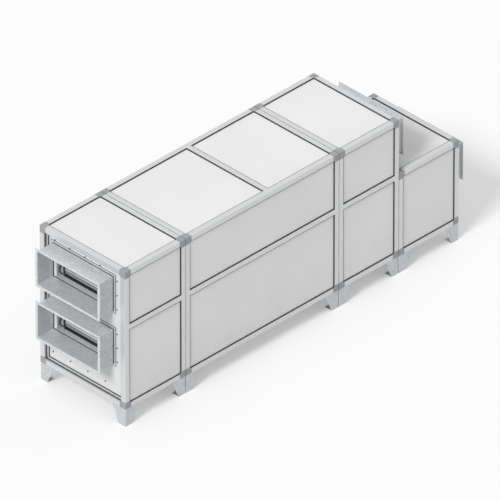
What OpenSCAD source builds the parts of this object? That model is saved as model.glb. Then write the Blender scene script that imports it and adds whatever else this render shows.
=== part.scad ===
// Modular two-deck air handling unit: four framed sections on sheet-metal feet, duct spigots at both ends
// Millimetres, +X from the front end to the low section, -Y is the access side, +Z is up, feet stand on z = 0

/* [Casing] */
// Width of the casing across the duct direction
unit_w = 1025; // [900:5:1600]
// Height of the two-deck sections without their feet
unit_h = 1400; // [1250:10:1600]
// Height of the low section, which is also the top of the mid rails
low_h = 850; // [750:5:960]
// Length of the front section
front_len = 720; // [500:5:1200]
// Length of the long section
long_len = 1835; // [1400:5:2400]
// Length of the rear section
rear_len = 722; // [500:1:1200]
// Length of the low section
low_len = 728; // [500:1:1200]

/* [Frame profile] */
// Side of the square frame profile
profile_w = 50; // [40:1:60]
// Wall of the hollow profile
profile_wall = 3; // [2:0.5:5]
// Radius of the profile's outer edge, which the corner caps share
edge_r = 4; // [2:0.5:8]
// Thickness of the lips that carry the panels
lip_t = 3; // [2:0.5:5]
// How far a corner cap reaches past the profile along each edge
corner_reach = 20; // [12:1:30]
// Gap between the lips of two profiles that meet at a corner
lip_gap = 2; // [1:0.5:5]
// Length of the plug that a corner cap pushes into a profile
plug_len = 30; // [15:1:60]
// Clearance round a plug inside its profile
plug_clearance = 0.3; // [0.1:0.1:0.6]
// Distance from the start of the long section to the middle of its roof cross rail
roof_rail_at = 1005; // [500:5:1200]

/* [Panels] */
// How far the panels lie behind the faces of the profiles
panel_recess = 10; // [4:1:20]
// Gap between a panel and the profiles round it
panel_gap = 1; // [0.5:0.5:3]
// Thickness of the deck between the two air paths
deck_t = 30; // [15:1:45]
// Thickness of the plate that closes the front end
end_plate_t = 12; // [6:1:20]
// Width of the clamping strip round the front end plate
trim_w = 25; // [15:1:28]
// Thickness of the clamping strip
trim_t = 10; // [4:1:15]

/* [Feet] */
// Height of the feet
foot_h = 175; // [100:5:250]
// Width of a foot's plates at the top
foot_top_w = 154; // [120:1:200]
// Width of a foot's plates at the floor
foot_bottom_w = 80; // [60:1:110]
// Sheet thickness of the feet
foot_sheet = 4; // [3:0.5:6]
// Outside radius of the fold between a foot's two plates
foot_fold_r = 8; // [6:0.5:12]
// How far a foot stands back from the two faces of its section
foot_inset = 2; // [0:0.5:6]
// Radius of the anchor hole in a foot
anchor_r = 6.5; // [4:0.5:9]
// Distance of the anchor hole from the two outer faces of its foot
anchor_inset = 45; // [30:1:48]

/* [Duct spigots] */
// Distance from a side of the casing to the inside of a duct that sits in the middle
duct_side_inset = 152.5; // [140:0.5:220]
// Distance from the low section's roof up to the inside of the upper rear duct
duct_sill = 74; // [45:1:120]
// Distance from the roof frame down to the inside of the upper rear duct
rear_upper_drop = 90; // [45:1:120]
// Distance from the mid rail down to the inside of the lower rear duct
rear_lower_drop = 141; // [45:1:200]
// Distance from the roof frame down to the inside of the upper front duct
front_upper_drop = 88; // [45:1:120]
// Distance from the mid rail down to the inside of the lower front duct
front_lower_drop = 76; // [45:1:120]
// Sideways shift of the front ducts towards the far side
front_duct_shift = 21; // [-20:1:40]
// Sheet thickness of the ducts
duct_sheet = 3; // [2:0.5:5]
// Length of a spigot from its seat to its outer face
spigot_len = 190; // [120:5:250]
// Width of the flange face round the duct
flange_w = 26; // [22:1:36]
// Thickness of the flanges
flange_t = 4; // [3:0.5:8]
// Radius of the bolt holes at the flange corners
flange_hole_r = 5; // [3:0.5:6]

/* [Dampers] */
// How far a damper casing reaches past its open blades at each end
damper_end_room = 15.5; // [6:0.5:30]
// How much the damper opening is narrower than the duct on each side
damper_side_inset = 35; // [20:1:50]
// Sheet thickness of the damper casings
damper_sheet = 3; // [2:0.5:5]
// Width of the damper casing's flanges
damper_flange = 30; // [15:1:35]
// Height of the sealing strips above and below the blades
strip_h = 12; // [8:1:20]
// Gap between the closed end blades and the sealing strips
strip_gap = 6; // [5:0.5:8]
// Gap between two closed blades
blade_gap = 6; // [5:0.5:9]
// Thickness of a blade at its middle
blade_t = 15; // [12:0.5:20]
// Width and height of the ribs along a blade
blade_rib = 2; // [1:0.5:3]
// Diameter of the tube in the middle of a blade
blade_tube_d = 24; // [20:1:30]
// Radius of the pins that a blade turns on
pin_r = 6; // [4:0.5:8]
// Radial clearance of a pin in the casing wall
pin_clearance = 0.08; // [0.03:0.01:0.1]
// How far a pin shows outside the casing wall
pin_out = 8; // [4:1:15]
// Clearance at the ends of a blade
blade_end_gap = 6; // [5:0.5:10]
// Thickness of the gears that couple the blades
gear_t = 12; // [8:1:16]
// Teeth on each gear, in steps of 4 so that a stack of gears meshes
gear_teeth = 40; // [32:4:48]
// Play between meshing teeth along the pitch circle
gear_play = 0.9; // [0.6:0.1:1.2]

/* [Hidden] */
$fn = 64;

// Sections in a row: start along the casing, length and height
FRONT = 0;
LONG = 1;
REAR = 2;
LOW = 3;
section_len = [front_len, long_len, rear_len, low_len];
section_start = [0, front_len, front_len + long_len, front_len + long_len + rear_len];
section_h = [unit_h, unit_h, unit_h, low_h];
casing_len = front_len + long_len + rear_len + low_len;

// Depths behind the faces of the profiles
seat_depth = profile_w - lip_t;
panel_t = seat_depth - panel_recess;
plate_depth = seat_depth - end_plate_t;
corner_arm = profile_w + corner_reach;
lip_w = corner_reach - lip_gap;
panel_edge = profile_w + panel_gap;

// The origin is under the middle of the whole length, spigots included
front_reach = spigot_len - plate_depth;
rear_reach = spigot_len - panel_recess;
front_x = (front_reach - rear_reach - casing_len) / 2;

// Ducts: all four have one size, which the sides and the space above the low section's roof leave for them
roof_z = unit_h - profile_w;
rail_z = low_h - profile_w;
duct_w = unit_w - 2 * duct_side_inset;
duct_h = roof_z - rear_upper_drop - duct_sill - low_h;
rear_upper_z = roof_z - rear_upper_drop - duct_h / 2;
rear_lower_z = rail_z - rear_lower_drop - duct_h / 2;
front_upper_z = roof_z - front_upper_drop - duct_h / 2;
front_lower_z = rail_z - front_lower_drop - duct_h / 2;

// Damper opening, and the blades and gears that fill its height between the sealing strips
damper_w = duct_w - 2 * damper_side_inset;
blade_count = 3;
blade_pitch = (duct_h - 2 * (strip_h + strip_gap) + blade_gap) / blade_count;
blade_chord = blade_pitch - blade_gap;
damper_depth = blade_chord + 2 * damper_end_room;
blade_arc_r = (blade_chord * blade_chord + blade_t * blade_t) / (4 * blade_t);
blade_arc_at = blade_arc_r - blade_t / 2;
blade_low_end = -damper_w / 2 + blade_end_gap;
blade_high_end = damper_w / 2 - blade_end_gap - gear_t;
gear_pitch_r = blade_pitch / 2;
gear_module = blade_pitch / gear_teeth;
gear_tip_r = gear_pitch_r + gear_module;
gear_root_r = gear_pitch_r - 1.25 * gear_module;
tooth_half = (PI * gear_module / 2 - gear_play) / 2;
tooth_slope = tan(20);
flat_arc_steps = 720;
cut = 1;

profile_colour = "#c9ccce";
cap_colour = "#b4b8ba";
panel_colour = "#eceeec";
zinc_colour = "#aeb4b8";
plate_colour = "#dfe2e1";
blade_colour = "#b9bec2";
gear_colour = "#d6d7d2";

// Puts children into a section whose corner is on the access side at the frame's underside
module in_section(i) {
    translate([front_x + section_start[i], -unit_w / 2, foot_h]) children();
}

// Repeats a shape that starts at one corner of a box at the corners that the lists name, mirrored to fit
module at_corners(size, xs = [0, 1], ys = [0, 1], zs = [0, 1]) {
    for (x = xs, y = ys, z = zs)
        translate([x * size.x, y * size.y, z * size.z])
            mirror([x, 0, 0])
                mirror([0, y, 0])
                    mirror([0, 0, z])
                        children();
}

// Turns x into y, y into z and z into x
module turn_axes() {
    rotate([90, 0, 90]) children();
}

module along_three_axes() {
    children();
    turn_axes() children();
    turn_axes() turn_axes() children();
}

// Block between two places along X, centred on the X axis
module block(x0, x1, w, h) {
    translate([x0, -w / 2, -h / 2]) cube([x1 - x0, w, h]);
}

// What rounding takes off a corner at the origin
module round_off(r) {
    difference() {
        translate([-cut, -cut]) square(r + cut);
        translate([r, r]) circle(r);
    }
}

// Square with a rounded corner at the origin
module rounded_square(size, r) {
    difference() {
        square(size);
        round_off(r);
    }
}

// Hollow profile with two lips, its outer edge at the origin
module profile_outline() {
    difference() {
        union() {
            rounded_square(profile_w, edge_r);
            translate([0, seat_depth]) square([profile_w + lip_w, lip_t]);
            translate([seat_depth, 0]) square([lip_t, profile_w + lip_w]);
        }
        translate([profile_wall, profile_wall]) square(profile_w - 2 * profile_wall);
    }
}

// Twelve profiles along the edges of one section, each between two corner caps
module section_frame(i) {
    size = [section_len[i], unit_w, section_h[i]];
    color(profile_colour) in_section(i) {
        at_corners(size, zs = [0])
            translate([0, 0, corner_arm]) linear_extrude(size.z - 2 * corner_arm) profile_outline();
        at_corners(size, xs = [0])
            turn_axes() translate([0, 0, corner_arm])
                linear_extrude(size.x - 2 * corner_arm) profile_outline();
        at_corners(size, ys = [0])
            turn_axes() turn_axes() translate([0, 0, corner_arm])
                linear_extrude(size.y - 2 * corner_arm) profile_outline();
    }
}

// Rounded web between two arms of a corner cap
module corner_web_outline() {
    difference() {
        translate([profile_w, profile_w]) square(corner_reach);
        translate([corner_arm, corner_arm]) circle(corner_reach);
    }
}

// Moulded cap: three arms with the profiles' rounded edges, webs between them and a plug for each profile
module corner_cap() {
    plug_inset = profile_wall + plug_clearance;
    plug_w = profile_w - 2 * plug_inset;
    difference() {
        along_three_axes() cube([profile_w, profile_w, corner_arm]);
        along_three_axes() translate([0, 0, -cut]) linear_extrude(corner_arm + 2 * cut) round_off(edge_r);
    }
    along_three_axes() {
        translate([plug_inset, plug_inset, corner_arm - cut]) cube([plug_w, plug_w, plug_len + cut]);
        linear_extrude(panel_recess) corner_web_outline();
    }
}

module section_corners(i) {
    color(cap_colour) in_section(i) at_corners([section_len[i], unit_w, section_h[i]]) corner_cap();
}

// Block that tapers towards the floor along X and runs across Y
module foot_taper() {
    rotate([90, 0, 0]) mirror([0, 0, 1]) linear_extrude(foot_top_w)
        polygon([[0, 0], [foot_bottom_w, 0], [foot_top_w, foot_h], [0, foot_h]]);
}

// Folded corner foot: two tapered walls, a base flange on the floor and a top flange under the profiles
module corner_foot() {
    inner_r = foot_fold_r - foot_sheet;
    difference() {
        intersection() {
            linear_extrude(foot_h) rounded_square(foot_top_w, foot_fold_r);
            foot_taper();
            mirror([1, -1, 0]) foot_taper();
        }
        translate([foot_sheet, foot_sheet, foot_sheet]) linear_extrude(foot_h - 2 * foot_sheet)
            rounded_square(foot_top_w, inner_r);
        translate([profile_w, profile_w, foot_sheet]) cube([foot_top_w, foot_top_w, foot_h]);
        translate([anchor_inset, anchor_inset, -cut]) cylinder(r = anchor_r, h = foot_sheet + 2 * cut);
    }
}

module section_feet(i) {
    color(zinc_colour) in_section(i) translate([0, 0, -foot_h])
        at_corners([section_len[i], unit_w, foot_h], zs = [0])
            translate([foot_inset, foot_inset, 0]) corner_foot();
}

// Rail along X that divides two panels: a hollow body, and a back strip that carries the panels like a lip
module dividing_rail(len) {
    body_len = len - 2 * profile_w;
    translate([profile_w, 0, 0]) difference() {
        cube([body_len, seat_depth, profile_w]);
        translate([-cut, profile_wall, profile_wall])
            cube([body_len + 2 * cut, seat_depth - 2 * profile_wall, profile_w - 2 * profile_wall]);
    }
    translate([corner_arm, seat_depth, -lip_w]) cube([len - 2 * corner_arm, lip_t, profile_w + 2 * lip_w]);
}

// Rails at the level of the low section's roof, along both sides and across the rear end
module mid_rails() {
    color(profile_colour) {
        for (i = [FRONT, LONG, REAR])
            in_section(i) at_corners([section_len[i], unit_w, 0], xs = [0], zs = [0])
                translate([0, 0, rail_z]) dividing_rail(section_len[i]);
        in_section(REAR) translate([rear_len, 0, rail_z]) rotate([0, 0, 90]) dividing_rail(unit_w);
    }
}

module roof_cross_rail() {
    color(profile_colour) in_section(LONG)
        translate([roof_rail_at - profile_w / 2, 0, unit_h]) rotate([-90, 0, 90]) mirror([0, 0, 1])
            dividing_rail(unit_w);
}

// Panel in a window of a roof or floor, between two places along the section
module flat_panel(x0, x1) {
    translate([x0, panel_edge, panel_recess]) cube([x1 - x0, unit_w - 2 * panel_edge, panel_t]);
}

module roof_panels() {
    rail_edge = profile_w / 2 + panel_gap;
    color(panel_colour) {
        for (i = [FRONT, REAR, LOW])
            in_section(i) translate([0, 0, section_h[i]]) mirror([0, 0, 1])
                flat_panel(panel_edge, section_len[i] - panel_edge);
        in_section(LONG) translate([0, 0, unit_h]) mirror([0, 0, 1]) {
            flat_panel(panel_edge, roof_rail_at - rail_edge);
            flat_panel(roof_rail_at + rail_edge, long_len - panel_edge);
        }
    }
}

module floor_panels() {
    color(panel_colour)
        for (i = [FRONT, LONG, REAR, LOW])
            in_section(i) flat_panel(panel_edge, section_len[i] - panel_edge);
}

// Deck between the two air paths, carried by the mid rails
module deck_panels() {
    ends = [[seat_depth + panel_gap, front_len - panel_gap], [panel_gap, long_len - panel_gap],
        [panel_gap, rear_len - panel_edge]];
    clear_of_posts = profile_w + lip_w + panel_gap;
    color(panel_colour)
        for (i = [FRONT, LONG, REAR])
            in_section(i) translate([0, 0, low_h - (profile_w + deck_t) / 2]) {
                translate([panel_edge, profile_w, 0])
                    cube([section_len[i] - 2 * panel_edge, unit_w - 2 * profile_w, deck_t]);
                translate([ends[i][0], clear_of_posts, 0])
                    cube([ends[i][1] - ends[i][0], unit_w - 2 * clear_of_posts, deck_t]);
            }
}

// Panels between two heights on the access side, or mirrored to the far side
module side_panels(sections, z0, z1, far) {
    color(panel_colour)
        for (i = sections)
            in_section(i) at_corners([0, unit_w, 0], xs = [0], ys = [far], zs = [0])
                translate([panel_edge, panel_recess, z0 + panel_gap])
                    cube([section_len[i] - 2 * panel_edge, panel_t, z1 - z0 - 2 * panel_gap]);
}

module upper_side_panels(far) {
    side_panels([FRONT, LONG, REAR], low_h, roof_z, far);
}

module lower_side_panels(far) {
    side_panels([FRONT, LONG, REAR, LOW], profile_w, rail_z, far);
}

// Moves children to the middle of a duct: origin on the seat plane, X pointing out of the casing
module at_front_duct(z, depth) {
    in_section(FRONT) translate([depth, unit_w / 2 + front_duct_shift, z]) mirror([1, 0, 0]) children();
}

module at_rear_duct(i, z, depth) {
    in_section(i) translate([section_len[i] - depth, unit_w / 2, z]) children();
}

module front_end_plate() {
    color(plate_colour) difference() {
        in_section(FRONT) translate([plate_depth, panel_edge, panel_edge])
            cube([end_plate_t, unit_w - 2 * panel_edge, unit_h - 2 * panel_edge]);
        for (z = [front_upper_z, front_lower_z])
            at_front_duct(z, seat_depth) block(-cut, end_plate_t + cut, damper_w, duct_h);
    }
}

module front_end_trim() {
    w = unit_w - 2 * panel_edge;
    h = unit_h - 2 * panel_edge;
    color(profile_colour) in_section(FRONT)
        translate([plate_depth - trim_t, panel_edge, panel_edge]) difference() {
            cube([trim_t, w, h]);
            translate([-cut, trim_w, trim_w]) cube([trim_t + 2 * cut, w - 2 * trim_w, h - 2 * trim_w]);
        }
}

// Insulated panel across an end, with the duct cut through it
module rear_end_panel(i, z0, z1, duct_z) {
    color(panel_colour) difference() {
        in_section(i) translate([section_len[i] - seat_depth, panel_edge, z0 + panel_gap])
            cube([panel_t, unit_w - 2 * panel_edge, z1 - z0 - 2 * panel_gap]);
        at_rear_duct(i, duct_z, seat_depth) block(-cut, panel_t + cut, duct_w, duct_h);
    }
}

// Rectangular spigot: a thin flange on its seat, the duct, and a flange with bolt holes at its open end
module duct_spigot() {
    color(zinc_colour) difference() {
        union() {
            block(0, spigot_len, duct_w + 2 * duct_sheet, duct_h + 2 * duct_sheet);
            for (x = [0, spigot_len - flange_t])
                block(x, x + flange_t, duct_w + 2 * flange_w, duct_h + 2 * flange_w);
        }
        block(-cut, spigot_len + cut, duct_w, duct_h);
        for (y = [-1, 1], z = [-1, 1])
            translate([spigot_len + cut, y * (duct_w + flange_w) / 2, z * (duct_h + flange_w) / 2])
                rotate([0, -90, 0]) cylinder(r = flange_hole_r, h = flange_t + 2 * cut);
    }
}

// Height of a blade's axis above the middle of its damper, counted from the lowest blade
function blade_z(n) = (n - (blade_count - 1) / 2) * blade_pitch;

// Channel-section casing behind the front end plate: web round the air path, flanges, bores, sealing strips
module damper_casing(z) {
    web_w = damper_w + 2 * damper_sheet;
    web_h = duct_h + 2 * damper_sheet;
    strip_len = blade_high_end - blade_end_gap + damper_w / 2;
    color(zinc_colour) at_front_duct(z, seat_depth) mirror([1, 0, 0]) {
        difference() {
            union() {
                block(0, damper_depth, web_w, web_h);
                for (x = [0, damper_depth - damper_sheet])
                    block(x, x + damper_sheet, damper_w + 2 * damper_flange, duct_h + 2 * damper_flange);
            }
            block(-cut, damper_depth + cut, damper_w, duct_h);
            for (n = [0 : blade_count - 1])
                translate([damper_depth / 2, 0, blade_z(n)]) rotate([90, 0, 0])
                    cylinder(r = pin_r + pin_clearance, h = web_w + 2 * cut, center = true);
        }
        for (top = [0, 1])
            mirror([0, 0, top])
                translate([(damper_depth - damper_sheet) / 2, -damper_w / 2, -duct_h / 2])
                    cube([damper_sheet, strip_len, strip_h]);
    }
}

// Puts children on a blade's axis, with Z along the blade towards the far side and Y up
module on_blade_axis(z, n) {
    at_front_duct(z, seat_depth) mirror([1, 0, 0])
        translate([damper_depth / 2, 0, blade_z(n)]) mirror([0, 1, 0]) rotate([90, 0, 0]) children();
}

function blade_thickness_at(y) = 2 * (sqrt(blade_arc_r * blade_arc_r - y * y) - blade_arc_at);

// Lens section of a closed blade, with its tube and ribs
module blade_outline() {
    intersection() {
        translate([blade_arc_at, 0]) circle(blade_arc_r, $fn = flat_arc_steps);
        translate([-blade_arc_at, 0]) circle(blade_arc_r, $fn = flat_arc_steps);
    }
    circle(d = blade_tube_d);
    for (side = [-1, 1], step = [1, 2]) {
        y = side * step * blade_chord / 6;
        translate([0, y]) square([blade_thickness_at(y) + 2 * blade_rib, blade_rib], center = true);
    }
}

module damper_blade(z, n) {
    pin_reach = damper_w / 2 + damper_sheet + pin_out;
    color(blade_colour) on_blade_axis(z, n) {
        translate([0, 0, blade_low_end]) linear_extrude(blade_high_end - blade_low_end) blade_outline();
        translate([0, 0, -pin_reach]) cylinder(r = pin_r, h = 2 * pin_reach);
    }
}

// Corners of one tooth, from its left root to its right root
function tooth_corner(r, side, angle) =
    let (half = tooth_half - (r - gear_pitch_r) * tooth_slope, turn = angle + side * half / r * 180 / PI)
    [r * cos(turn), r * sin(turn)];

module gear_outline(first_tooth) {
    polygon([for (tooth = [0 : gear_teeth - 1], corner = [0 : 3])
        tooth_corner(corner == 1 || corner == 2 ? gear_tip_r : gear_root_r, corner < 2 ? -1 : 1,
            first_tooth + tooth * 360 / gear_teeth)]);
}

// Gear on the far end of a blade; every second gear is turned by half a tooth so that the stack meshes
module damper_gear(z, n) {
    color(gear_colour) on_blade_axis(z, n)
        translate([0, 0, blade_high_end]) linear_extrude(gear_t) difference() {
            gear_outline(n % 2 * 180 / gear_teeth);
            circle(pin_r);
        }
}

section_frame(FRONT);  // front_section_frame
section_frame(LONG);  // long_section_frame
section_frame(REAR);  // rear_section_frame
section_frame(LOW);  // low_section_frame
section_corners(FRONT);  // front_section_corners
section_corners(LONG);  // long_section_corners
section_corners(REAR);  // rear_section_corners
section_corners(LOW);  // low_section_corners
section_feet(FRONT);  // front_section_feet
section_feet(LONG);  // long_section_feet
section_feet(REAR);  // rear_section_feet
section_feet(LOW);  // low_section_feet
mid_rails();
roof_cross_rail();
roof_panels();
floor_panels();
deck_panels();
upper_side_panels(0);  // access_side_upper_panels
lower_side_panels(0);  // access_side_lower_panels
upper_side_panels(1);  // far_side_upper_panels
lower_side_panels(1);  // far_side_lower_panels
front_end_plate();
front_end_trim();
rear_end_panel(REAR, low_h, roof_z, rear_upper_z);  // rear_upper_end_panel
rear_end_panel(LOW, profile_w, rail_z, rear_lower_z);  // rear_lower_end_panel
at_front_duct(front_upper_z, plate_depth) duct_spigot();  // front_upper_spigot
at_front_duct(front_lower_z, plate_depth) duct_spigot();  // front_lower_spigot
at_rear_duct(REAR, rear_upper_z, panel_recess) duct_spigot();  // rear_upper_spigot
at_rear_duct(LOW, rear_lower_z, panel_recess) duct_spigot();  // rear_lower_spigot
damper_casing(front_upper_z);  // upper_damper_casing
damper_casing(front_lower_z);  // lower_damper_casing
damper_blade(front_upper_z, 0);  // upper_damper_blade_1
damper_blade(front_upper_z, 1);  // upper_damper_blade_2
damper_blade(front_upper_z, 2);  // upper_damper_blade_3
damper_blade(front_lower_z, 0);  // lower_damper_blade_1
damper_blade(front_lower_z, 1);  // lower_damper_blade_2
damper_blade(front_lower_z, 2);  // lower_damper_blade_3
damper_gear(front_upper_z, 0);  // upper_damper_gear_1
damper_gear(front_upper_z, 1);  // upper_damper_gear_2
damper_gear(front_upper_z, 2);  // upper_damper_gear_3
damper_gear(front_lower_z, 0);  // lower_damper_gear_1
damper_gear(front_lower_z, 1);  // lower_damper_gear_2
damper_gear(front_lower_z, 2);  // lower_damper_gear_3
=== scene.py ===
# %% [markdown]
# # Dressing an air handling unit
# The solids of this unit come packed, in metres, with every piece already in its place. This lesson leaves
# their shapes alone. It adds what a builder of such units adds last: gaskets, sealant, screws and the
# rubber of the dampers. Then it gives every surface its finish, and sets up a camera and a plain studio.

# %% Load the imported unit
import math

import bmesh
import bpy
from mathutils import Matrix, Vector


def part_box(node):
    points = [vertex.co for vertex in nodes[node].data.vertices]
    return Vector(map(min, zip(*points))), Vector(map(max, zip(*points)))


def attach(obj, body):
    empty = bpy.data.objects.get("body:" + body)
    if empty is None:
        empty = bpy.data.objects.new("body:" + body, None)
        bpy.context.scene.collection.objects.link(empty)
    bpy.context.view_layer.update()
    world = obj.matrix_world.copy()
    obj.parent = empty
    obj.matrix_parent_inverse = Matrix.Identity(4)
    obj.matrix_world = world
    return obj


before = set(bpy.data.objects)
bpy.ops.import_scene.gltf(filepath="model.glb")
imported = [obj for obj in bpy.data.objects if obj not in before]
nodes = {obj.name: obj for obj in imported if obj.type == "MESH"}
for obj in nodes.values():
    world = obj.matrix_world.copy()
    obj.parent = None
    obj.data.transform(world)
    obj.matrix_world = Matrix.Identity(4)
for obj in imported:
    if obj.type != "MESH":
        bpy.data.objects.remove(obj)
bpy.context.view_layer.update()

# %% [markdown]
# ## Rubber in the panel frames
# On the real unit each panel is pushed into its frame from outside and sits on a foam seal. A black rubber
# bead then fills the corner between the panel and the frame, all the way round. That bead is the dark line
# that the eye reads as the edge of a panel.
#
# A bead is a picture frame of rubber. It starts as a block as large as the window. Its corner edges are
# rounded where a corner cap fills the corner of the window with a rounded web. Both end faces are inset by
# the width of the bead, and bridging the two inner faces opens the middle. A small bevel softens the edges.
# A curve with a bevel would be quicker, but it gets thinner at square corners. The inset keeps its width
# there, and leaves one closed mesh.

# %% Pick edges or faces in edit mode
def pick(piece, kind, test):
    bpy.context.view_layer.objects.active = piece
    bpy.ops.object.mode_set(mode="EDIT")
    bpy.ops.mesh.select_mode(type=kind)
    bpy.ops.mesh.select_all(action="DESELECT")
    mesh = bmesh.from_edit_mesh(piece.data)
    found = [part for part in (mesh.faces if kind == "FACE" else mesh.edges) if test(part)]
    for part in found:
        part.select_set(True)
    bmesh.update_edit_mesh(piece.data)
    return len(found)


# %% Start a piece from a block
def block(name, low, high):
    low, high = Vector(low), Vector(high)
    bpy.ops.object.select_all(action="DESELECT")
    bpy.ops.mesh.primitive_cube_add(size=1.0, location=(low + high) / 2, scale=high - low)
    bpy.ops.object.transform_apply(location=True, rotation=True, scale=True)
    piece = bpy.context.active_object
    piece.name = name
    return piece


# %% Soften the edges of a piece
SOFT_ANGLE = math.radians(35.0)


def soften(piece, width, segments=2):
    bpy.ops.object.mode_set(mode="OBJECT")
    bpy.ops.object.select_all(action="DESELECT")
    piece.select_set(True)
    bpy.context.view_layer.objects.active = piece
    bevel = piece.modifiers.new("soft_edges", "BEVEL")
    bevel.width = width
    bevel.segments = segments
    bevel.limit_method = "ANGLE"
    bevel.angle_limit = SOFT_ANGLE
    bpy.ops.object.modifier_apply(modifier=bevel.name)
    bpy.ops.object.shade_smooth_by_angle(angle=SOFT_ANGLE)
    return piece


# %% Join pieces that make up one
def join(pieces, name):
    bpy.ops.object.select_all(action="DESELECT")
    for piece in pieces:
        piece.select_set(True)
    bpy.context.view_layer.objects.active = pieces[0]
    if len(pieces) > 1:
        bpy.ops.object.join()
    pieces[0].name = name
    return pieces[0]


# %% Make a ring of rubber
X, Y, Z = range(3)
ROUND_SEGMENTS = 6
SAME_PLACE = 1e-6
FACING = 0.9
BEAD_SOFT = 0.0015


def rubber_ring(name, low, high, axis, width, round_corners=(), corner_r=0.0, soft=BEAD_SOFT):
    ring = block(name, low, high)
    middle = (Vector(low) + Vector(high)) / 2
    across = [i for i in range(3) if i != axis]

    def at_round_corner(edge):
        a, b = (vert.co for vert in edge.verts)
        if any(abs(a[i] - b[i]) > SAME_PLACE for i in across):
            return False
        return tuple(a[i] > middle[i] for i in across) in round_corners

    if round_corners:
        pick(ring, "EDGE", at_round_corner)
        bpy.ops.mesh.bevel(offset=corner_r, segments=ROUND_SEGMENTS, affect="EDGES")
    pick(ring, "FACE", lambda face: abs(face.normal[axis]) > FACING)
    bpy.ops.mesh.inset(thickness=width, use_individual=True)
    bpy.ops.mesh.bridge_edge_loops()
    bpy.ops.mesh.select_all(action="SELECT")
    bpy.ops.mesh.normals_make_consistent(inside=False)
    return soften(ring, soft)


# %% [markdown]
# The windows are found from the frames. A frame's box is the box of its section, and each window starts one
# profile width inside it. The mid rails have their top at the roof of the low section. Reading these places
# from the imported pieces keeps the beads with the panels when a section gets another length.

# %% Find the windows
PROFILE = 0.050
RECESS = 0.010
BEAD_WIDTH = 0.008
BEAD_HEIGHT = 0.007
BEAD_CLEARANCE = 0.0003
WEB_R = 0.020
ALL_ROUND = ((False, False), (False, True), (True, False), (True, True))
TOP_ROUND = ((False, True), (True, True))
LOW_ROUND = ((False, False), (True, False))
NEAR_ROUND = ((False, False), (False, True))
FAR_ROUND = ((True, False), (True, True))

sections = {name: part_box(f"{name}_section_frame") for name in ("front", "long", "rear", "low")}
rail_top = sections["low"][1].z
rail_low = rail_top - PROFILE
cross_low, cross_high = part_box("roof_cross_rail")
cross_at = (cross_low.x + cross_high.x) / 2
windows = []
for name, (low, high) in sections.items():
    x0, x1 = low.x + PROFILE, high.x - PROFILE
    y0, y1 = low.y + PROFILE, high.y - PROFILE
    z0, z1 = low.z + PROFILE, high.z - PROFILE
    windows.append(("floor", Z, low.z, -1, (x0, y0), (x1, y1), ALL_ROUND))
    if name == "long":
        cross_x0, cross_x1 = cross_at - PROFILE / 2, cross_at + PROFILE / 2
        windows.append(("roof", Z, high.z, 1, (x0, y0), (cross_x0, y1), NEAR_ROUND))
        windows.append(("roof", Z, high.z, 1, (cross_x1, y0), (x1, y1), FAR_ROUND))
    else:
        windows.append(("roof", Z, high.z, 1, (x0, y0), (x1, y1), ALL_ROUND))
    for side, face, out in (("access_side", low.y, -1), ("far_side", high.y, 1)):
        if name == "low":
            windows.append((f"{side}_lower", Y, face, out, (x0, z0), (x1, z1), ALL_ROUND))
        else:
            windows.append((f"{side}_lower", Y, face, out, (x0, z0), (x1, rail_low), LOW_ROUND))
            windows.append((f"{side}_upper", Y, face, out, (x0, rail_top), (x1, z1), TOP_ROUND))
    if name == "rear":
        windows.append(("rear_upper_end", X, high.x, 1, (y0, rail_top), (y1, z1), TOP_ROUND))
    if name == "low":
        windows.append(("rear_lower_end", X, high.x, 1, (y0, z0), (y1, z1), ALL_ROUND))
print("windows:", len(windows))

# %% Press a bead into every window
beads = {}
for group, axis, face, out, low, high, corners in windows:
    panel_face = face - out * RECESS
    bead_top = panel_face + out * BEAD_HEIGHT
    across = [i for i in range(3) if i != axis]
    box_low, box_high = Vector(), Vector()
    for i, at_low, at_high in zip(across, low, high):
        box_low[i], box_high[i] = at_low + BEAD_CLEARANCE, at_high - BEAD_CLEARANCE
    box_low[axis], box_high[axis] = min(panel_face, bead_top), max(panel_face, bead_top)
    bead = rubber_ring(f"{group}_bead", box_low, box_high, axis, BEAD_WIDTH, corners, WEB_R - BEAD_CLEARANCE)
    beads.setdefault(group, []).append(bead)
rubber_pieces = [join(pieces, f"{group}_beads") for group, pieces in beads.items()]
for piece in rubber_pieces:
    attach(piece, "casing")
print("bead pieces:", [(piece.name, len(piece.data.polygons)) for piece in rubber_pieces])

# %% [markdown]
# ## The seal between two sections
# The sections are built one by one and bolted together on site, with a strip of rubber squeezed between
# them. The profiles have rounded edges, so two of them leave a narrow groove, and the strip fills its
# bottom. It is a ring again, but its inner edge is pulled together to a wedge that fits the groove, and the
# points that then fall on each other are merged.

# %% Seal the joints between the sections
SEAL_WIDTH = 0.0044
SEAL_BELOW = 0.0005
SEAL_DEPTH = 0.0034
SEAL_PINCH = 0.05
SEAL_CORNER = 0.006
SEAL_SOFT = 0.0006
SEAL_INNER = 0.8
SEAL_MERGE = 0.00008

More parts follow.
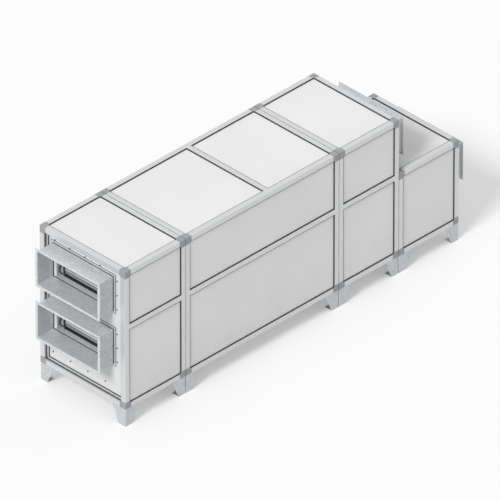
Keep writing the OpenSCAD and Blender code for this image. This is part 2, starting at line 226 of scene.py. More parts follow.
joint_seals = []
for name in ("long", "rear", "low"):
    low, high = sections[name]
    seal = rubber_ring(
        f"{name}_joint_seal",
        (low.x - SEAL_WIDTH / 2, low.y + SEAL_BELOW, low.z + SEAL_BELOW),
        (low.x + SEAL_WIDTH / 2, high.y - SEAL_BELOW, high.z - SEAL_BELOW),
        X, SEAL_DEPTH, ALL_ROUND, SEAL_CORNER, SEAL_SOFT,
    )
    inner_y = high.y - SEAL_BELOW - SEAL_DEPTH * SEAL_INNER
    inner_z = high.z - SEAL_BELOW - SEAL_DEPTH * SEAL_INNER
    mid_z = (low.z + high.z) / 2

    def inside(face):
        return all(abs(v.co.y) < inner_y and abs(v.co.z - mid_z) < inner_z - mid_z for v in face.verts)

    pick(seal, "FACE", inside)
    bpy.ops.transform.resize(value=(SEAL_PINCH, 1.0, 1.0))
    bpy.ops.mesh.select_all(action="SELECT")
    bpy.ops.mesh.remove_doubles(threshold=SEAL_MERGE)
    bpy.ops.object.mode_set(mode="OBJECT")
    joint_seals.append(seal)
joint_seal = join(joint_seals, "section_joint_seals")
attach(joint_seal, "casing")
rubber_pieces.append(joint_seal)
print("joint seals:", len(joint_seal.data.polygons), "faces")

# %% [markdown]
# ## The beads round the end plate
# A clamping strip presses the front end plate against the frame. Sealant runs along both of its edges:
# inside, in the corner with the plate, and outside, in the corner with the frame. The two dark lines frame
# the plate. The ring from above makes both, only thinner and with square corners, because a nozzle pulls
# sealant straight into the corner.

# %% Lay the beads along the clamping strip
TRIM_WIDTH = 0.025
PLATE_BEAD = 0.006
PLATE_BEAD_SOFT = 0.002

trim_low, trim_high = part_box("front_end_trim")
plate_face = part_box("front_end_plate")[0].x
for name, face, inset in (("end_plate_bead", plate_face, TRIM_WIDTH), ("end_trim_bead", trim_low.x, 0.0)):
    plate_bead = rubber_ring(
        name,
        (face - PLATE_BEAD, trim_low.y + inset, trim_low.z + inset),
        (face, trim_high.y - inset, trim_high.z - inset),
        X, PLATE_BEAD, soft=PLATE_BEAD_SOFT,
    )
    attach(plate_bead, "casing")
    rubber_pieces.append(plate_bead)
    print(name, len(plate_bead.data.polygons), "faces")

# %% [markdown]
# ## Sealant round the spigots
# Each duct spigot sits on the unit with a thin flange. A fitter seals it three times: along the edge of
# that flange, in the corner between the flange and the duct, and inside the duct where it meets the unit.
# All three are rings, which differ only in how far they reach past the flange and where they start.

# %% Seal the spigots to the unit
FLANGE_WIDTH = 0.026
FLANGE_THICK = 0.004
DUCT_SHEET = 0.003
SEAT_BEAD = 0.0035
NECK_BEAD = 0.0045
SEAM_BEAD = 0.0055
SEALANT_SOFT = 0.001
BEAD_ROOM = 0.0002

seal_kinds = {
    "seat": (SEAT_BEAD + BEAD_ROOM, SEAT_BEAD, 0.0),
    "neck": (NECK_BEAD + DUCT_SHEET + BEAD_ROOM - FLANGE_WIDTH, NECK_BEAD, FLANGE_THICK),
    "seam": (-FLANGE_WIDTH - BEAD_ROOM, SEAM_BEAD, 0.0),
}
for kind, (reach, width, start) in seal_kinds.items():
    rings = []
    for name in ("front_upper", "front_lower", "rear_upper", "rear_lower"):
        low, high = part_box(f"{name}_spigot")
        seat, out = (high.x, -1) if name.startswith("front") else (low.x, 1)
        x0, x1 = sorted((seat + out * start, seat + out * (start + width)))
        rings.append(rubber_ring(
            f"{name}_{kind}_bead", (x0, low.y - reach, low.z - reach), (x1, high.y + reach, high.z + reach),
            X, width, soft=SEALANT_SOFT,
        ))
    seal = join(rings, f"spigot_{kind}_beads")
    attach(seal, "casing")
    rubber_pieces.append(seal)
    print(seal.name, len(seal.data.polygons), "faces")

# %% [markdown]
# ## Screws in the end plate
# Self-drilling screws hold the plate. Each has a rubber washer under a blackened head with a socket. One
# screw is modelled and then copied, each copy with a mesh of its own. Washer and head both start as a disc.
# Insetting the outer face and moving it outwards gives the crown. A smaller inset face is then sunk by an
# inset that has a depth and no width, which gives the socket. An extrusion has the same shape, but lists
# its faces in another order on each run. At this size a thread would never show, so there is none.

# %% Set the screws out
TOP_ROW_Y = (-0.181, 0.0005, 0.1815, 0.362)
LOW_ROW_Y = (-0.236, -0.028, 0.180, 0.391)
COLUMN_EDGE = 0.130
UPPER_COLUMN = (0.944, 1.089, 1.234)
LOWER_COLUMN = (0.410, 0.553, 0.693)
LOW_ROW_UP = 0.147
TOP_ROW_ABOVE = 0.0115

casing_low = sections["front"][0]
upper_spigot_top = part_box("front_upper_spigot")[1].z
places = [(y, upper_spigot_top + TOP_ROW_ABOVE) for y in TOP_ROW_Y]
places += [(casing_low.y + COLUMN_EDGE, casing_low.z + up) for up in UPPER_COLUMN + LOWER_COLUMN]
places += [(y, casing_low.z + LOW_ROW_UP) for y in LOW_ROW_Y]
first_y, first_z = places[0]
first_place = Vector((plate_face, first_y, first_z))
print("screws:", len(places))

# %% Model the washer
WASHER_R = 0.007
WASHER_T = 0.0018
WASHER_RIM = 0.0012
WASHER_CROWN = 0.0004
SCREW_SOFT = 0.0003
ROUND_STEPS = 24


def disc(name, place, radius, thickness):
    bpy.ops.object.select_all(action="DESELECT")
    bpy.ops.mesh.primitive_cylinder_add(
        vertices=ROUND_STEPS, radius=radius, depth=thickness,
        location=place - Vector((thickness / 2, 0.0, 0.0)), rotation=(0.0, -math.pi / 2, 0.0),
    )
    bpy.ops.object.transform_apply(location=True, rotation=True, scale=True)
    piece = bpy.context.active_object
    piece.name = name
    return piece


def faces_out(face):
    return face.normal.x < -FACING


washer = disc("washer", first_place, WASHER_R, WASHER_T)
pick(washer, "FACE", faces_out)
bpy.ops.mesh.inset(thickness=WASHER_RIM)
bpy.ops.transform.translate(value=(-WASHER_CROWN, 0.0, 0.0))
soften(washer, SCREW_SOFT)
print("washer:", len(washer.data.polygons), "faces")

# %% Model the head
HEAD_R = 0.0052
HEAD_T = 0.0032
HEAD_RIM = 0.0012
HEAD_CROWN = 0.0009
SOCKET_RIM = 0.0014
SOCKET_DEPTH = 0.0022

head = disc("head", first_place - Vector((WASHER_T, 0.0, 0.0)), HEAD_R, HEAD_T)
pick(head, "FACE", faces_out)
bpy.ops.mesh.inset(thickness=HEAD_RIM)
bpy.ops.transform.translate(value=(-HEAD_CROWN, 0.0, 0.0))
bpy.ops.mesh.inset(thickness=SOCKET_RIM)
bpy.ops.mesh.inset(thickness=0.0, depth=-SOCKET_DEPTH)
soften(head, SCREW_SOFT)
print("head:", len(head.data.polygons), "faces")


# %% Copy the screw to its places
def copy_to(piece, offset):
    bpy.ops.object.select_all(action="DESELECT")
    piece.select_set(True)
    bpy.context.view_layer.objects.active = piece
    bpy.ops.object.duplicate(linked=False)
    bpy.ops.transform.translate(value=offset)
    bpy.ops.object.transform_apply(location=True, rotation=True, scale=True)
    return bpy.context.active_object


washers, heads = [washer], [head]
for y, z in places[1:]:
    offset = (0.0, y - first_y, z - first_z)
    washers.append(copy_to(washer, offset))
    heads.append(copy_to(head, offset))
screw_washers = join(washers, "end_plate_screw_washers")
screw_heads = join(heads, "end_plate_screw_heads")
for piece in (screw_washers, screw_heads):
    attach(piece, "casing")
rubber_pieces.append(screw_washers)
print("screw faces:", len(screw_washers.data.polygons), "and", len(screw_heads.data.polygons))

# %% [markdown]
# ## Rubber on the dampers
# A damper should shut tight. Each blade carries a rubber lip along both edges. A lip is a wedge, thick
# where it grips the blade and thin at its tip: a block whose outer face is drawn together. The ribs and the
# sealing strips further down are made in the same way, so the wedge gets a helper of its own. A lip moves
# with its blade.

# %% Make a wedge
def wedge(name, low, high, axis, out, squeeze, soft, segments=2, slide=(0.0, 0.0, 0.0)):
    piece = block(name, low, high)
    pick(piece, "FACE", lambda face: face.normal[axis] * out > FACING)
    bpy.ops.transform.resize(value=squeeze)
    bpy.ops.transform.translate(value=slide)
    return soften(piece, soft, segments)


# %% Go through the blades
DECKS = ("upper", "lower")
LEAVES = (1, 2, 3)
PIN_TO_BLADE = 0.017


def damper_blades():
    for deck in DECKS:
        for n in LEAVES:
            low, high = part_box(f"{deck}_damper_blade_{n}")
            blade_end = low.y + PIN_TO_BLADE
            gear_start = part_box(f"{deck}_damper_gear_{n}")[0].y
            yield deck, n, low, high, blade_end, gear_start


# %% Put lips on the blades
LIP_REACH = 0.0024
LIP_GRIP = 0.004
LIP_THICK = 0.007
LIP_TIP = 0.5
LIP_SOFT = 0.001
LIP_END_ROOM = 0.001

lips = []
for deck, n, low, high, blade_end, gear_start in damper_blades():
    mid_x = (low.x + high.x) / 2
    pair = []
    for edge, out in ((low.z, -1), (high.z, 1)):
        z0, z1 = sorted((edge + out * LIP_REACH, edge - out * LIP_GRIP))
        pair.append(wedge(
            f"{deck}_lip_{n}",
            (mid_x - LIP_THICK / 2, blade_end + LIP_END_ROOM, z0),
            (mid_x + LIP_THICK / 2, gear_start - LIP_END_ROOM, z1),
            Z, out, (LIP_TIP, 1.0, 1.0), LIP_SOFT,
        ))
    lip = join(pair, f"{deck}_damper_lips_{n}")
    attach(lip, f"{deck}_leaf_{n}")
    lips.append(lip)
rubber_pieces += lips
print("lips:", len(lips))

# %% [markdown]
# Fine ribs run along the blades and stiffen them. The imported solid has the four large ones. The small ones
# lie between those. Each is a strip that is rooted in the blade, and its outer face is drawn together to a
# soft edge.

# %% Add the fine ribs
RIB_PLACES = (-0.0285, -0.0245, -0.0205, 0.0205, 0.0245, 0.0285)
RIB_THICK = 0.0014
RIB_ROOT = 0.003
RIB_OUT = 0.0092
RIB_DROP = 3.9
RIB_NARROW = 0.5
RIB_SOFT = 0.0002

blade_ribs = []
for deck, n, low, high, blade_end, gear_start in damper_blades():
    mid = (low + high) / 2
    strips = []
    for up in RIB_PLACES:
        reach = RIB_OUT - RIB_DROP * up * up
        for out in (-1, 1):
            x0, x1 = sorted((mid.x + out * RIB_ROOT, mid.x + out * reach))
            strips.append(wedge(
                f"{deck}_rib_{n}",
                (x0, blade_end + LIP_END_ROOM, mid.z + up - RIB_THICK / 2),
                (x1, gear_start - LIP_END_ROOM, mid.z + up + RIB_THICK / 2),
                X, out, (1.0, 1.0, RIB_NARROW), RIB_SOFT, 1,
            ))
    ribs = join(strips, f"{deck}_damper_ribs_{n}")
    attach(ribs, f"{deck}_leaf_{n}")
    blade_ribs.append(ribs)
print("rib pieces:", len(blade_ribs), "with", len(blade_ribs[0].data.polygons), "faces")

# %% [markdown]
# Each blade is a hollow extrusion, closed at both ends by a black cap that is pushed over it. The cap is a
# block as wide as the blade. Its upright edges are cut in equal parts, and each level is then spread to the
# thickness that the blade has there: most at the tube in the middle, and less towards the lips.

# %% Cap the ends of the blades
END_CAP_LENGTH = 0.018
END_CAP_ROOM = 0.0005
END_CAP_LEVELS = 7
END_CAP_MIDDLE = 0.0130
END_CAP_EDGE = 0.0066
END_CAP_SOFT = 0.001
SAME_LEVEL = 1e-5


def runs_upright(edge):
    a, b = (vert.co for vert in edge.verts)
    return abs(a.x - b.x) < SAME_PLACE and abs(a.y - b.y) < SAME_PLACE


def end_cap(name, mid, y0, y1, half_height):
    low = (mid.x - END_CAP_EDGE, y0, mid.z - half_height)
    high = (mid.x + END_CAP_EDGE, y1, mid.z + half_height)
    cap = block(name, low, high)
    pick(cap, "EDGE", runs_upright)
    bpy.ops.mesh.subdivide(number_cuts=END_CAP_LEVELS)
    for level in range(1, END_CAP_LEVELS + 1):
        up = 2.0 * level / (END_CAP_LEVELS + 1) - 1.0
        at = mid.z + up * half_height
        pick(cap, "EDGE", lambda edge: all(abs(vert.co.z - at) < SAME_LEVEL for vert in edge.verts))
        thick = END_CAP_EDGE + (END_CAP_MIDDLE - END_CAP_EDGE) * (1.0 - up * up)
        bpy.ops.transform.resize(value=(thick / END_CAP_EDGE, 1.0, 1.0))
    return soften(cap, END_CAP_SOFT)


end_caps = []
for deck, n, low, high, blade_end, gear_start in damper_blades():
    mid, half_height = (low + high) / 2, (high.z - low.z) / 2 - LIP_GRIP
    near = (blade_end - END_CAP_ROOM, blade_end + END_CAP_LENGTH)
    at_gear = (gear_start - END_CAP_LENGTH, gear_start - END_CAP_ROOM)
    pair = [end_cap(f"{deck}_end_cap_{n}", mid, y0, y1, half_height) for y0, y1 in (near, at_gear)]
    cap = join(pair, f"{deck}_damper_end_caps_{n}")
    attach(cap, f"{deck}_leaf_{n}")
    end_caps.append(cap)
rubber_pieces += end_caps
print("end caps:", len(end_caps), "with", len(end_caps[0].data.polygons), "faces")

# %% [markdown]
# The blades at the top and bottom shut against sealing strips in the casing. A rubber profile sits on each
# strip and has a broad foot on the side that the air comes from, which the air presses down. It is a block
# over the strip and the foot, and its free face is drawn together to a narrow ridge on the strip.

# %% Put rubber on the sealing strips
STRIP_HEIGHT = 0.012
CASING_FLANGE = 0.030
CAP_REACH = 0.0012
CAP_ROOM = 0.0005
CAP_BACK = 0.004
CAP_FOOT = 0.018
CAP_RIDGE = 0.005
CAP_SOFT = 0.001
STRIP_END_GAP = 0.006

for deck in DECKS:
    low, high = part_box(f"{deck}_damper_casing")
    mid_x = (low.x + high.x) / 2
    y0 = low.y + CASING_FLANGE + LIP_END_ROOM
    y1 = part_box(f"{deck}_damper_gear_1")[0].y - STRIP_END_GAP
    caps = []
    for wall, out in ((low.z + CASING_FLANGE, 1), (high.z - CASING_FLANGE, -1)):
        z0, z1 = sorted((wall + out * CAP_ROOM, wall + out * (STRIP_HEIGHT + CAP_REACH)))
        caps.append(wedge(
            f"{deck}_cap", (mid_x - CAP_FOOT, y0, z0), (mid_x + CAP_BACK, y1, z1),
            Z, out, (CAP_RIDGE / (CAP_FOOT + CAP_BACK), 1.0, 1.0), CAP_SOFT,
            slide=((CAP_FOOT - CAP_BACK) / 2, 0.0, 0.0),
        ))
    strip_cap = join(caps, f"{deck}_damper_strip_caps")
    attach(strip_cap, "casing")
    rubber_pieces.append(strip_cap)
print("rubber pieces:", len(rubber_pieces))

# %% [markdown]
# ## Finishes
# All finishes are drawn by noise in the coordinates of the object, which are metres here. So a pattern has
# its real size on every piece, and needs no picture file.

# %% Start a finish
def start_finish(name, roughness, metallic=0.0):
    finish = bpy.data.materials.new(name)
    finish.use_nodes = True
    shader = finish.node_tree.nodes["Principled BSDF"]
    shader.inputs["Roughness"].default_value = roughness
    shader.inputs["Metallic"].default_value = metallic
    place = finish.node_tree.nodes.new("ShaderNodeTexCoord").outputs["Object"]
    return finish, finish.node_tree, shader, place


def add_noise(tree, place, scale, detail=2.0, stretch=(1.0, 1.0, 1.0)):
    mapping = tree.nodes.new("ShaderNodeMapping")
    mapping.inputs["Scale"].default_value = stretch
    tree.links.new(place, mapping.inputs["Vector"])
    noise = tree.nodes.new("ShaderNodeTexNoise")
    noise.inputs["Scale"].default_value = scale
    noise.inputs["Detail"].default_value = detail
    tree.links.new(mapping.outputs["Vector"], noise.inputs["Vector"])
    return noise.outputs[0]


# %% Turn a value into a colour, mix two colours
NOISE_LOW = 0.3
NOISE_HIGH = 0.7


def add_ramp(tree, value, first, last, start=NOISE_LOW, end=NOISE_HIGH):
    ramp = tree.nodes.new("ShaderNodeValToRGB")
    ramp.color_ramp.elements[0].position = start
    ramp.color_ramp.elements[1].position = end
    ramp.color_ramp.elements[0].color = (*first, 1.0)
    ramp.color_ramp.elements[1].color = (*last, 1.0)
    tree.links.new(value, ramp.inputs[0])
    return ramp.outputs["Color"]


def mix_colours(tree, share, first, second, blend="MIX"):
    mix = tree.nodes.new("ShaderNodeMix")
    mix.data_type = "RGBA"
    mix.blend_type = blend
    sockets = [mix.inputs["Factor"]] + [socket for socket in mix.inputs if socket.type == "RGBA"]
    for socket, value in zip(sockets, (share, first, second)):
        if isinstance(value, bpy.types.NodeSocket):
            tree.links.new(value, socket)
        else:
            socket.default_value = value
    return [socket for socket in mix.outputs if socket.type == "RGBA"][0]


def shade(colour, factor):
    return tuple(min(1.0, part * factor) for part in colour)


# %% Roughen a surface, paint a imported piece
FINE_DEPTH = 0.0003
COARSE_DEPTH = 0.0004


def add_bump(tree, shader, height, strength, distance):
    bump = tree.nodes.new("ShaderNodeBump")
    bump.inputs["Strength"].default_value = strength
    bump.inputs["Distance"].default_value = distance
    tree.links.new(height, bump.inputs["Height"])
    tree.links.new(bump.outputs["Normal"], shader.inputs["Normal"])


def paint(finish, *names):
    for name in names:
        piece = nodes[name]
        if not piece.material_slots:
            piece.data.materials.append(finish)
        for slot in piece.material_slots:
            slot.material = finish


# %% [markdown]
# Powder coat has a fine orange peel and is nearly even. Low down, near the floor, a little dust dulls it. A
# slow noise shifts the tone by a few hundredths, and a very fine one drives the bump. The share of dust
# grows towards the floor, and a third noise breaks it up so that no level line shows.

# %% Powder coat
PANEL_WHITE = (0.80, 0.81, 0.80)
PLATE_GREY = (0.72, 0.73, 0.73)
PANEL_ROUGH = 0.42
PLATE_ROUGH = 0.45
CLOUD_SCALE = 1.7
CLOUD_DETAIL = 4.0
CLOUD_DARK, CLOUD_LIGHT = 0.965, 1.02
DUST = (0.52, 0.50, 0.46)
DUST_TOP = 0.62
DUST_FOOT = 0.17
DUST_MOST = 0.26
DUST_SCALE = 9.0
DUST_DETAIL = 5.0
PEEL_SCALE = 700.0
PEEL_DETAIL = 1.0
PEEL_STRENGTH = 0.10


def powder_coat(name, colour, roughness):
    finish, tree, shader, place = start_finish(name, roughness)
    clouds = add_noise(tree, place, CLOUD_SCALE, CLOUD_DETAIL)
    coat = add_ramp(tree, clouds, shade(colour, CLOUD_DARK), shade(colour, CLOUD_LIGHT))
    split = tree.nodes.new("ShaderNodeSeparateXYZ")
    tree.links.new(place, split.inputs[0])
    height = tree.nodes.new("ShaderNodeMapRange")
    height.inputs["From Min"].default_value = DUST_TOP
    height.inputs["From Max"].default_value = DUST_FOOT
    height.inputs["To Max"].default_value = DUST_MOST
    tree.links.new(split.outputs["Z"], height.inputs["Value"])
    patch = tree.nodes.new("ShaderNodeMath")
    patch.operation = "MULTIPLY"
    tree.links.new(height.outputs[0], patch.inputs[0])
    tree.links.new(add_noise(tree, place, DUST_SCALE, DUST_DETAIL), patch.inputs[1])
    dusty = mix_colours(tree, patch.outputs[0], coat, (*DUST, 1.0))
    tree.links.new(dusty, shader.inputs["Base Color"])
    peel = add_noise(tree, place, PEEL_SCALE, PEEL_DETAIL)
    add_bump(tree, shader, peel, PEEL_STRENGTH, COARSE_DEPTH)
    return finish


panel_paint = powder_coat("panel_powder_coat", PANEL_WHITE, PANEL_ROUGH)
plate_paint = powder_coat("end_plate_powder_coat", PLATE_GREY, PLATE_ROUGH)
paint(panel_paint, "roof_panels", "floor_panels", "deck_panels", "access_side_upper_panels",
      "access_side_lower_panels", "far_side_upper_panels", "far_side_lower_panels", "rear_upper_end_panel",
      "rear_lower_end_panel")
paint(plate_paint, "front_end_plate")
print("powder coats:", panel_paint.name, plate_paint.name)

# %% [markdown]
# The profiles are extrusions that were etched and anodised, which leaves a fine, even satin grain and a few
# dull patches where they were handled. The corner caps are moulded in grey plastic. Rubber is moulded too,
# but has hardly any shine. On the metal one noise drives tone and bump together, because a scratch changes
# both, and a larger one drives the roughness. Stretching that first noise later gives the blades their
# streaks.

# %% Anodised aluminium
PROFILE_GREY = (0.66, 0.67, 0.68)
PROFILE_ROUGH = 0.38
PROFILE_GRAIN = 650.0
PROFILE_CONTRAST = 0.03
SATIN_METALLIC = 0.55
GRAIN_DETAIL = 3.0
GRAIN_STRENGTH = 0.06
HANDLED_SCALE = 6.0
HANDLED_DETAIL = 5.0
HANDLED_START, HANDLED_END = 0.35, 0.75
HANDLED_SMOOTH, HANDLED_DULL = 0.04, 0.10


def satin_metal(name, colour, roughness, grain_scale, contrast, stretch=(1.0, 1.0, 1.0)):
    finish, tree, shader, place = start_finish(name, roughness, SATIN_METALLIC)
    grain = add_noise(tree, place, grain_scale, GRAIN_DETAIL, stretch)
    tone = add_ramp(tree, grain, shade(colour, 1.0 - contrast), shade(colour, 1.0 + contrast))
    tree.links.new(tone, shader.inputs["Base Color"])
    handled = add_noise(tree, place, HANDLED_SCALE, HANDLED_DETAIL)
    smooth, dull = (roughness - HANDLED_SMOOTH,) * 3, (roughness + HANDLED_DULL,) * 3
    level = add_ramp(tree, handled, smooth, dull, HANDLED_START, HANDLED_END)
    tree.links.new(level, shader.inputs["Roughness"])
    add_bump(tree, shader, grain, GRAIN_STRENGTH, FINE_DEPTH)
    return finish


profile_metal = satin_metal(
    "satin_anodised_profile", PROFILE_GREY, PROFILE_ROUGH, PROFILE_GRAIN, PROFILE_CONTRAST,
)
paint(profile_metal, *[f"{name}_section_frame" for name in sections])
paint(profile_metal, "mid_rails", "roof_cross_rail", "front_end_trim")
print("profiles:", profile_metal.name)

# %% Moulded plastic and rubber
CAP_GREY = (0.33, 0.34, 0.35)
CAP_ROUGH = 0.5
CAP_PEEL = 900.0
RUBBER_BLACK = (0.020, 0.020, 0.021)
RUBBER_ROUGH = 0.75
RUBBER_PEEL = 500.0
RUBBER_SHINE = 0.2
PLASTIC_SHINE = 0.5
MOTTLE_SCALE = 14.0
MOTTLE_DETAIL = 3.0
MOTTLE_DARK, MOTTLE_LIGHT = 0.93, 1.04
MOULD_STRENGTH = 0.15


def moulded(name, colour, roughness, peel, shine):
    finish, tree, shader, place = start_finish(name, roughness)
    shader.inputs["Specular IOR Level"].default_value = shine
    mottle = add_noise(tree, place, MOTTLE_SCALE, MOTTLE_DETAIL)
    tone = add_ramp(tree, mottle, shade(colour, MOTTLE_DARK), shade(colour, MOTTLE_LIGHT))
    tree.links.new(tone, shader.inputs["Base Color"])
    add_bump(tree, shader, add_noise(tree, place, peel), MOULD_STRENGTH, FINE_DEPTH)
    return finish


cap_plastic = moulded("corner_cap_plastic", CAP_GREY, CAP_ROUGH, CAP_PEEL, PLASTIC_SHINE)
rubber = moulded("black_rubber", RUBBER_BLACK, RUBBER_ROUGH, RUBBER_PEEL, RUBBER_SHINE)
paint(cap_plastic, *[f"{name}_section_corners" for name in sections])
for piece in rubber_pieces:
    piece.data.materials.append(rubber)
print("moulded:", cap_plastic.name, rubber.name)

# %% [markdown]
# ## Painted shade on the dampers
# Dark bands of painted shade lie in the grooves between the ribs of the blades and on the teeth of the
# gears, where shade falls. Both follow the distance from a blade's axis. The three axes of a damper stand
# one pitch apart, so wrapping the height by that pitch gives the place beside the nearest axis for all
# three.

# %% Measure from the nearest axis
def beside_axis(tree, place, axis, pitch):
    shift = tree.nodes.new("ShaderNodeVectorMath")
    shift.operation = "SUBTRACT"
    shift.inputs[1].default_value = (axis.x, 0.0, axis.z)
    tree.links.new(place, shift.inputs[0])
    wrap = tree.nodes.new("ShaderNodeVectorMath")
    wrap.operation = "WRAP"
    wrap.inputs[1].default_value = (pitch / 2, pitch / 2, pitch / 2)
    wrap.inputs[2].default_value = (-pitch / 2, -pitch / 2, -pitch / 2)
    tree.links.new(shift.outputs[0], wrap.inputs[0])
    return wrap.outputs[0]


def distance_along(tree, beside, directions):
    along = tree.nodes.new("ShaderNodeVectorMath")
    along.operation = "MULTIPLY"
    along.inputs[1].default_value = directions
    tree.links.new(beside, along.inputs[0])
    length = tree.nodes.new("ShaderNodeVectorMath")
    length.operation = "LENGTH"
    tree.links.new(along.outputs[0], length.inputs[0])
    return length.outputs["Value"]


# %% Paint shade in bands of distance
SHADE_REACH = 0.056
SHADE_BLUR = 0.0004


# Paints shade in bands: inside each band the colour turns to the shade colour, elsewhere it stays unshaded.
def shade_bands(tree, distance, bands, unshaded, shade_colour):
    part = tree.nodes.new("ShaderNodeMapRange")
    part.inputs["From Max"].default_value = SHADE_REACH
    tree.links.new(distance, part.inputs["Value"])
    ramp = tree.nodes.new("ShaderNodeValToRGB")
    ramp.color_ramp.elements[0].color = (*unshaded, 1.0)
    ramp.color_ramp.elements[1].color = (*unshaded, 1.0)
    for start, end in bands:
        for at, colour in ((start - SHADE_BLUR, unshaded), (start, shade_colour), (end, shade_colour), (end + SHADE_BLUR, unshaded)):
            ramp.color_ramp.elements.new(at / SHADE_REACH).color = (*colour, 1.0)
    tree.links.new(part.outputs[0], ramp.inputs[0])
    return ramp.outputs["Color"]


# %% Mill-finish blades with painted shade in their grooves
BLADE_GREY = (0.66, 0.67, 0.69)
BLADE_ROUGH = 0.32
BLADE_GRAIN = 90.0
BLADE_CONTRAST = 0.05
STREAKS = (1.0, 0.03, 1.0)
# Painted shade: near-black for the grooves between the ribs, where shade falls.
GROOVE_SHADE = (0.075, 0.074, 0.072)
GROOVES = ((0.0105, 0.0146), (0.0174, 0.0306))
NO_SHADE = (1.0, 1.0, 1.0)


def mill_finish(name):
    return satin_metal(name, BLADE_GREY, BLADE_ROUGH, BLADE_GRAIN, BLADE_CONTRAST, STREAKS)


def shaded_groove_blade(name, axis, pitch):
    finish = mill_finish(name)
    tree = finish.node_tree
    shader = tree.nodes["Principled BSDF"]
    streaked = shader.inputs["Base Color"].links[0].from_socket
    place = tree.nodes.new("ShaderNodeTexCoord").outputs["Object"]
    height = distance_along(tree, beside_axis(tree, place, axis, pitch), (0.0, 0.0, 1.0))
    # Painted shade is multiplied into the grooves between the ribs.
    groove_shade = shade_bands(tree, height, GROOVES, NO_SHADE, shade(GROOVE_SHADE, 1.0 / BLADE_GREY[1]))
    tree.links.new(mix_colours(tree, 1.0, streaked, groove_shade, "MULTIPLY"), shader.inputs["Base Color"])
    return finish


# %% Nylon gears with painted shade on their teeth
NYLON = (0.76, 0.76, 0.72)
NYLON_ROUGH = 0.45
NYLON_PEEL = 600.0
# Painted shade: near-black on the ring of teeth, where the tooth gaps lie in shade.
TEETH_SHADE = (0.045, 0.043, 0.040)
TEETH = ((0.0440, 0.0545),)


def shaded_teeth_nylon(name, axis, pitch):
    finish, tree, shader, place = start_finish(name, NYLON_ROUGH)
    radius = distance_along(tree, beside_axis(tree, place, axis, pitch), (1.0, 0.0, 1.0))
    # The ring of teeth gets painted shade, the rest keeps the nylon colour.
    tree.links.new(shade_bands(tree, radius, TEETH, NYLON, TEETH_SHADE), shader.inputs["Base Color"])
    add_bump(tree, shader, add_noise(tree, place, NYLON_PEEL), MOULD_STRENGTH, FINE_DEPTH)
    return finish


# %% Paint the blades, their ribs and the gears
for deck in DECKS:
    axes = [sum(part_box(f"{deck}_damper_gear_{n}"), Vector()) / 2 for n in LEAVES]
    pitch = axes[1].z - axes[0].z
    blade_finish = shaded_groove_blade(f"{deck}_mill_finish_blade", axes[1], pitch)
    gear_finish = shaded_teeth_nylon(f"{deck}_gear_nylon", axes[1], pitch)
    paint(blade_finish, *[f"{deck}_damper_blade_{n}" for n in LEAVES])
    paint(gear_finish, *[f"{deck}_damper_gear_{n}" for n in LEAVES])
    print(deck, "damper pitch:", round(pitch, 4))
rib_metal = mill_finish("mill_finish_rib")
for piece in blade_ribs:
    piece.data.materials.append(rib_metal)

# %% [markdown]
# Zinc freezes on hot-dipped sheet in flat crystals, the spangle. A Voronoi pattern has the same cells, and
# a random tone in each cell does the rest.

# %% Galvanised sheet
SHEET_ZINC = (0.66, 0.68, 0.70)
FOOT_ZINC = (0.58, 0.60, 0.62)
BLACK_STEEL = (0.060, 0.060, 0.064)
SHEET_CELLS = 70.0
FOOT_CELLS = 55.0
SCREW_CELLS = 900.0
ZINC_ROUGH = 0.45
ZINC_METALLIC = 0.4
SPANGLE_DARK, SPANGLE_LIGHT = 0.88, 1.08
SPANGLE_SMOOTH, SPANGLE_DULL = 0.36, 0.54
RIPPLE_SCALE = 160.0
RIPPLE_DETAIL = 3.0
RIPPLE_STRENGTH = 0.08


def galvanised(name, colour, cell_scale):
    finish, tree, shader, place = start_finish(name, ZINC_ROUGH, ZINC_METALLIC)
    cells = tree.nodes.new("ShaderNodeTexVoronoi")
    cells.inputs["Scale"].default_value = cell_scale
    tree.links.new(place, cells.inputs["Vector"])
    split = tree.nodes.new("ShaderNodeSeparateColor")
    tree.links.new(cells.outputs["Color"], split.inputs[0])
    dark, light = shade(colour, SPANGLE_DARK), shade(colour, SPANGLE_LIGHT)
    tree.links.new(add_ramp(tree, split.outputs[0], dark, light, 0.0, 1.0), shader.inputs["Base Color"])
    smooth, dull = (SPANGLE_SMOOTH,) * 3, (SPANGLE_DULL,) * 3
    tree.links.new(add_ramp(tree, split.outputs[1], smooth, dull, 0.0, 1.0), shader.inputs["Roughness"])
    ripple = add_noise(tree, place, RIPPLE_SCALE, RIPPLE_DETAIL)
    add_bump(tree, shader, ripple, RIPPLE_STRENGTH, COARSE_DEPTH)
    return finish


zinc_sheet = galvanised("galvanised_sheet", SHEET_ZINC, SHEET_CELLS)
foot_zinc = galvanised("hot_dip_zinc", FOOT_ZINC, FOOT_CELLS)
screw_steel = galvanised("blackened_steel", BLACK_STEEL, SCREW_CELLS)
paint(zinc_sheet, "front_upper_spigot", "front_lower_spigot", "rear_upper_spigot", "rear_lower_spigot",
      "upper_damper_casing", "lower_damper_casing")
paint(foot_zinc, *[f"{name}_section_feet" for name in sections])
screw_heads.data.materials.append(screw_steel)
print("finishes:", len([finish for finish in bpy.data.materials if finish.users]))

# %% [markdown]
# ## The camera
# The picture is a parallel projection from the front left. A perspective camera with a very long lens, far
# away, comes so close to that that no edge moves by a whole pixel. It has one advantage over an
# orthographic camera: it can step back in views where the unit is longer.

# %% Camera
VIEW_TURN = math.radians(-44.945)
VIEW_RISE = math.radians(34.068)
PICTURE_WIDTH = 4.2565
HALF_ANGLE = math.radians(0.62)
AIM_RIGHT = -0.0121
AIM_UP = 0.4963
SENSOR_WIDTH = 36.0
FAR_CLIP = 400.0

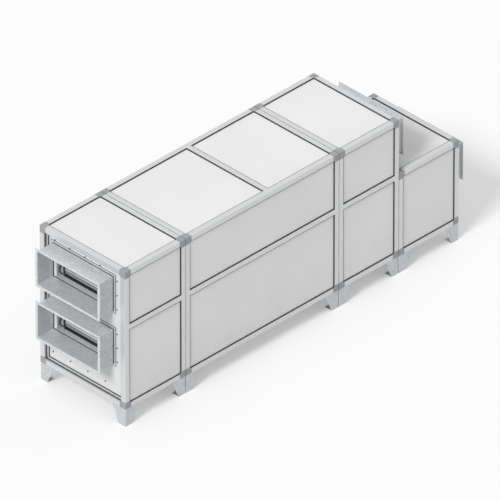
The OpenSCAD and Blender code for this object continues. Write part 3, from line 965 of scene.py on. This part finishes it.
toward_camera = Vector((
    math.sin(VIEW_TURN) * math.cos(VIEW_RISE),
    -math.cos(VIEW_TURN) * math.cos(VIEW_RISE),
    math.sin(VIEW_RISE),
))
picture_right = Vector((math.cos(VIEW_TURN), math.sin(VIEW_TURN), 0.0))
picture_up = toward_camera.cross(picture_right)
aim = AIM_RIGHT * picture_right + AIM_UP * picture_up
camera_distance = PICTURE_WIDTH / 2 / math.tan(HALF_ANGLE)
bpy.ops.object.camera_add(
    location=aim + camera_distance * toward_camera,
    rotation=(-toward_camera).to_track_quat("-Z", "Y").to_euler(),
)
camera = bpy.context.active_object
camera.data.sensor_width = SENSOR_WIDTH
camera.data.lens = SENSOR_WIDTH / 2 / math.tan(HALF_ANGLE)
camera.data.clip_end = FAR_CLIP
bpy.context.scene.camera = camera
print("camera at", round(camera_distance, 1), "m")

# %% [markdown]
# ## The studio
# A pale floor, one broad sun for the shape and an even world for soft light from all sides. The sun stands
# in front of the unit, so that it reaches into the duct spigots. The background is white only to the camera
# and in reflections: the floor glows a little for those rays, and the world is brighter for them. The light
# on the unit stays at a level at which a colour comes out as it is written.

# %% Tell which rays see the background
def background_rays(tree):
    ray = tree.nodes.new("ShaderNodeLightPath")
    seen = ray.outputs["Is Camera Ray"]
    for kind in ("Is Glossy Ray", "Is Transmission Ray"):
        either = tree.nodes.new("ShaderNodeMath")
        either.operation = "MAXIMUM"
        tree.links.new(seen, either.inputs[0])
        tree.links.new(ray.outputs[kind], either.inputs[1])
        seen = either.outputs[0]
    return seen


def background_level(tree, level, background):
    choose = tree.nodes.new("ShaderNodeMapRange")
    choose.inputs["To Min"].default_value = level
    choose.inputs["To Max"].default_value = background
    tree.links.new(background_rays(tree), choose.inputs["Value"])
    return choose.outputs[0]


# %% Floor
FLOOR_SIDE = 120.0
FLOOR_ROUGH = 0.9
FLOOR_GREY = 0.64
FLOOR_LIFT = 0.305

bpy.ops.mesh.primitive_plane_add(size=FLOOR_SIDE)
floor = bpy.context.active_object
floor.name = "studio_floor"
floor_paint, floor_tree, floor_shader, _ = start_finish("studio_floor_paint", FLOOR_ROUGH)
floor_shader.inputs["Base Color"].default_value = (FLOOR_GREY, FLOOR_GREY, FLOOR_GREY, 1.0)
floor_shader.inputs["Emission Color"].default_value = (1.0, 1.0, 1.0, 1.0)
floor_glow = background_level(floor_tree, 0.0, FLOOR_LIFT)
floor_tree.links.new(floor_glow, floor_shader.inputs["Emission Strength"])
floor.data.materials.append(floor_paint)
print("floor:", FLOOR_SIDE, "m wide")

# %% Sun and world
SUN_STRENGTH = 2.0
SUN_SPREAD = math.radians(18.0)
SUN_FROM = Vector((-1.0, -0.20, 0.95))
WORLD_STRENGTH = 0.60
WORLD_BACKGROUND = 0.98

bpy.ops.object.light_add(type="SUN", rotation=(-SUN_FROM).to_track_quat("-Z", "Y").to_euler())
sun = bpy.context.active_object
sun.data.energy = SUN_STRENGTH
sun.data.angle = SUN_SPREAD

world = bpy.data.worlds.new("studio_world")
world.use_nodes = True
sky = world.node_tree.nodes["Background"]
sky.inputs["Color"].default_value = (1.0, 1.0, 1.0, 1.0)
world_level = background_level(world.node_tree, WORLD_STRENGTH, WORLD_BACKGROUND)
world.node_tree.links.new(world_level, sky.inputs["Strength"])
bpy.context.scene.world = world
bpy.context.scene.view_settings.view_transform = "Standard"
print("studio ready")
